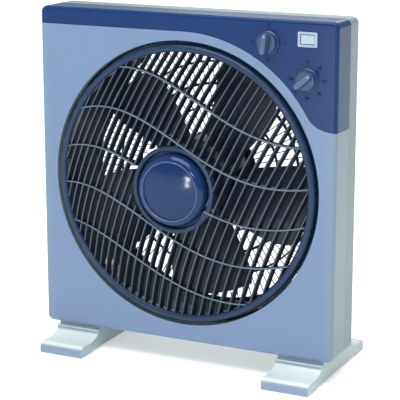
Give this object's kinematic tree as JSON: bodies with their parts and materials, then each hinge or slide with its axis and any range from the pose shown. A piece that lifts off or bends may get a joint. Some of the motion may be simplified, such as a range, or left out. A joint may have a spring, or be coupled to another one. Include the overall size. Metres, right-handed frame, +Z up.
{
  "type": "box fan",
  "caption": "Square box fan on two feet, with a slowly turning round louver grille in front of the impeller, a spoked rear guard, speed and timer knobs and a rocker switch.",
  "frame": {"origin": "on the surface the fan stands on, midway between the feet and midway along them", "axes": "+Z up, -Y out of the front grille, +X towards the controls' side"},
  "size_m": [0.35, 0.168, 0.3885],
  "materials": {
    "body_plastic": "satin light blue-grey",
    "panel_plastic": "glossy dark blue",
    "shell_plastic": "satin grey-green",
    "grille_plastic": "satin slate blue",
    "black_plastic": "matt black",
    "foot_plastic": "satin pale grey",
    "pale_plastic": "satin pale lilac",
    "steel": "plain steel",
    "brass": "plain brass",
    "rubber": "matt black rubber"
  },
  "bodies": {
    "body": {"front_shell": "body_plastic", "control_panel": "panel_plastic", "rear_shell": "shell_plastic", "rear_guard": "black_plastic", "louver_motor": "steel", "motor_front_bracket": "steel", "motor_rear_bracket": "steel", "motor_stator": "steel", "front_bush": "brass", "rear_bush": "brass", "speed_switch": "black_plastic", "timer_body": "black_plastic", "louver_switch_body": "pale_plastic", "rocker_pin": "steel", "left_foot": "foot_plastic", "right_foot": "foot_plastic", "cord_gland": "black_plastic", "terminal_block": "pale_plastic", "capacitor": "black_plastic", "roller_pin_1": "steel", "roller_pin_2": "steel", "roller_pin_3": "steel", "motor_screw_1": "steel", "foot_pad_1": "rubber", "foot_screw_1": "steel", "shell_screw_1": "steel", "motor_screw_2": "steel", "foot_pad_2": "rubber", "foot_screw_2": "steel", "shell_screw_2": "steel", "motor_screw_3": "steel", "foot_pad_3": "rubber", "foot_screw_3": "steel", "shell_screw_3": "steel", "motor_screw_4": "steel", "foot_pad_4": "rubber", "foot_screw_4": "steel", "shell_screw_4": "steel", "panel_screw_1": "steel", "panel_screw_2": "steel"},
    "fan_rotor": {"fan_blade": "black_plastic", "blade_nut": "black_plastic", "motor_shaft": "steel", "motor_rotor": "steel"},
    "louver": {"louver_grille": "grille_plastic", "louver_cap": "panel_plastic"},
    "louver_drive": {"drive_wheel": "rubber", "louver_motor_shaft": "steel"},
    "roller_top": {"guide_roller_1": "black_plastic"},
    "roller_left": {"guide_roller_2": "black_plastic"},
    "roller_right": {"guide_roller_3": "black_plastic"},
    "speed_control": {"speed_knob": "panel_plastic", "speed_switch_shaft": "brass"},
    "timer_control": {"timer_knob": "panel_plastic", "timer_shaft": "brass"},
    "louver_switch": {"louver_switch_rocker": "shell_plastic"}
  },
  "joints": [
    {"name": "fan_spin", "type": "hinge", "parent": "body", "child": "fan_rotor", "pos_m": [0, 0, 0.203], "axis": [0, 1, 0], "continuous": true},
    {"name": "louver_spin", "type": "hinge", "parent": "body", "child": "louver", "pos_m": [0, -0.035, 0.203], "axis": [0, 1, 0], "continuous": true},
    {"name": "louver_drive_spin", "type": "hinge", "parent": "body", "child": "louver_drive", "pos_m": [-0.11171, -0.035, 0.0832], "axis": [0, 1, 0], "continuous": true},
    {"name": "roller_top_spin", "type": "hinge", "parent": "body", "child": "roller_top", "pos_m": [0, -0.035, 0.3633], "axis": [0, 1, 0], "continuous": true},
    {"name": "roller_left_spin", "type": "hinge", "parent": "body", "child": "roller_left", "pos_m": [-0.15063, -0.035, 0.14817], "axis": [0, 1, 0], "continuous": true},
    {"name": "roller_right_spin", "type": "hinge", "parent": "body", "child": "roller_right", "pos_m": [0.15063, -0.035, 0.14817], "axis": [0, 1, 0], "continuous": true},
    {"name": "speed_turn", "type": "hinge", "parent": "body", "child": "speed_control", "pos_m": [0.0985, -0.047, 0.364], "axis": [0, 1, 0], "range_deg": [0, 270]},
    {"name": "timer_turn", "type": "hinge", "parent": "body", "child": "timer_control", "pos_m": [0.142, -0.047, 0.328], "axis": [0, 1, 0], "range_deg": [-50, 265]},
    {"name": "louver_switch_rock", "type": "hinge", "parent": "body", "child": "louver_switch", "pos_m": [0.142, -0.046, 0.3695], "axis": [0, 0, 1], "range_deg": [-16, 0]}
  ],
  "couplings": [
    {"joint": "louver_drive_spin", "follows": "louver_spin", "ratio": -17.167},
    {"joint": "roller_top_spin", "follows": "louver_spin", "ratio": -28.091},
    {"joint": "roller_left_spin", "follows": "louver_spin", "ratio": -28.091},
    {"joint": "roller_right_spin", "follows": "louver_spin", "ratio": -28.091}
  ]
}
